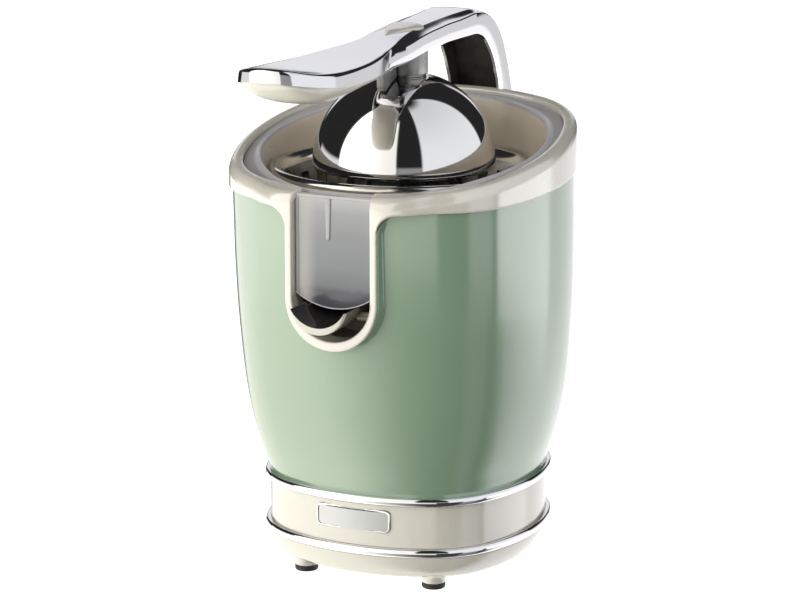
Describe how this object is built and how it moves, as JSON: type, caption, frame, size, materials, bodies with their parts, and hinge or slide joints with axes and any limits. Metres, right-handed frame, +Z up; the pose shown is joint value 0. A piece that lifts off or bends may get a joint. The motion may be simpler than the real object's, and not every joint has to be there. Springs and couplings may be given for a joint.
{
  "type": "electric citrus juicer",
  "caption": "Lever-arm electric citrus juicer: rounded body, bowl with filter and reamer, press dome on a hinged arm, tilting front spout.",
  "frame": {"origin": "on the floor, under the middle of the footprint box", "axes": "+Z up, front of the machine and spout towards -Y, +X to the right seen from the front"},
  "size_m": [0.1844, 0.2916, 0.3034],
  "materials": {
    "cream_shell": "gloss cream",
    "green_paint": "gloss sage green paint",
    "bright_trim": "polished",
    "polished_steel": "mirror polished sheet steel",
    "polished_arm": "polished die casting",
    "smoke_plastic": "smoky translucent",
    "smoke_dark": "gloss",
    "taupe_plastic": "satin",
    "grey_plastic": "moulded",
    "black_plastic": "moulded",
    "rubber_black": "matt",
    "steel_bright": "turned",
    "steel_sheet": "zinc plated",
    "brass_gear": "turned",
    "nylon_gear": "natural",
    "iron_core": "laminated",
    "magnet_dark": "sintered"
  },
  "bodies": {
    "root": {"base_dish": "cream_shell", "rubber_feet": "rubber_black", "lower_trim_ring": "bright_trim", "upper_trim_ring": "bright_trim", "base_band": "cream_shell", "nameplate": "bright_trim", "body_shell": "green_paint", "collar": "cream_shell", "spout_channel": "taupe_plastic", "juice_bowl": "smoke_plastic", "filter_basket": "polished_steel", "lower_posts": "grey_plastic", "upper_posts": "grey_plastic", "tie_bolts": "steel_bright", "tie_nuts": "steel_bright", "chassis_plate": "steel_sheet", "gearbox_housing": "grey_plastic", "gearbox_cover": "grey_plastic", "gearbox_screws": "steel_bright", "intermediate_bushes": "brass_gear", "motor_can": "steel_sheet", "motor_end_cap": "steel_sheet", "motor_magnets": "magnet_dark", "motor_bushes": "brass_gear", "carbon_brushes": "magnet_dark", "brush_holders": "grey_plastic", "motor_screws": "steel_bright", "spindle_bushes": "brass_gear", "shaft_seal": "rubber_black", "return_spring": "steel_bright", "microswitch": "black_plastic", "deck": "grey_plastic", "hinge_bracket": "cream_shell", "hinge_pin": "steel_bright", "pin_clips": "steel_bright", "bracket_screws": "steel_bright", "cord_gland": "rubber_black", "terminal_block": "cream_shell"},
    "arm_assembly": {"arm": "polished_arm", "hinge_bushes": "brass_gear", "grip_underside": "cream_shell", "hub": "polished_arm", "dome": "polished_steel", "dome_stud": "steel_bright", "dome_nut": "steel_bright"},
    "release": {"release_button": "cream_shell", "latch_hook": "polished_arm"},
    "spout_tray": {"spout": "cream_shell"},
    "press_carriage": {"thrust_sleeve": "nylon_gear"},
    "spindle_assembly": {"spindle": "steel_bright", "output_gear": "nylon_gear", "reamer_cone": "smoke_dark"},
    "intermediate": {"intermediate_shaft": "steel_bright", "intermediate_wheel": "nylon_gear", "intermediate_pinion": "steel_bright"},
    "rotor": {"motor_shaft": "steel_bright", "motor_pinion": "brass_gear", "rotor_core": "iron_core", "commutator": "brass_gear"},
    "plunger": {"switch_plunger": "black_plastic"}
  },
  "joints": [
    {"name": "arm_hinge", "type": "hinge", "parent": "root", "child": "arm_assembly", "pos_m": [0, 0.1318, 0.2297], "axis": [-1, 0, 0], "range_deg": [0, 95]},
    {"name": "release_slide", "type": "slide", "parent": "arm_assembly", "child": "release", "axis": [0, 1, 0], "range_m": [0, 0.0012], "stiffness_N_per_m": 900, "springref_m": -0.002},
    {"name": "spout_tilt", "type": "hinge", "parent": "root", "child": "spout_tray", "pos_m": [0, -0.0647, 0.1587], "axis": [-1, 0, 0], "range_deg": [0, 18]},
    {"name": "cone_press", "type": "slide", "parent": "root", "child": "press_carriage", "axis": [0, 0, -1], "range_m": [0, 0.003], "stiffness_N_per_m": 1500, "springref_m": -0.004, "deforming": ["return_spring"]},
    {"name": "spindle_spin", "type": "hinge", "parent": "press_carriage", "child": "spindle_assembly", "pos_m": [0, 0.0228, 0.1777], "axis": [0, 0, 1], "continuous": true},
    {"name": "intermediate_spin", "type": "hinge", "parent": "root", "child": "intermediate", "pos_m": [0, 0.0678, 0.1327], "axis": [0, 0, 1], "continuous": true},
    {"name": "motor_spin", "type": "hinge", "parent": "root", "child": "rotor", "pos_m": [0, 0.0303, 0.0877], "axis": [0, 0, 1], "continuous": true},
    {"name": "switch_travel", "type": "slide", "parent": "root", "child": "plunger", "axis": [0, 0, -1], "range_m": [0, 0.003]}
  ],
  "couplings": [
    {"joint": "intermediate_spin", "follows": "motor_spin", "ratio": -0.25},
    {"joint": "spindle_spin", "follows": "motor_spin", "ratio": 0.0625},
    {"joint": "switch_travel", "follows": "cone_press", "ratio": 1}
  ]
}
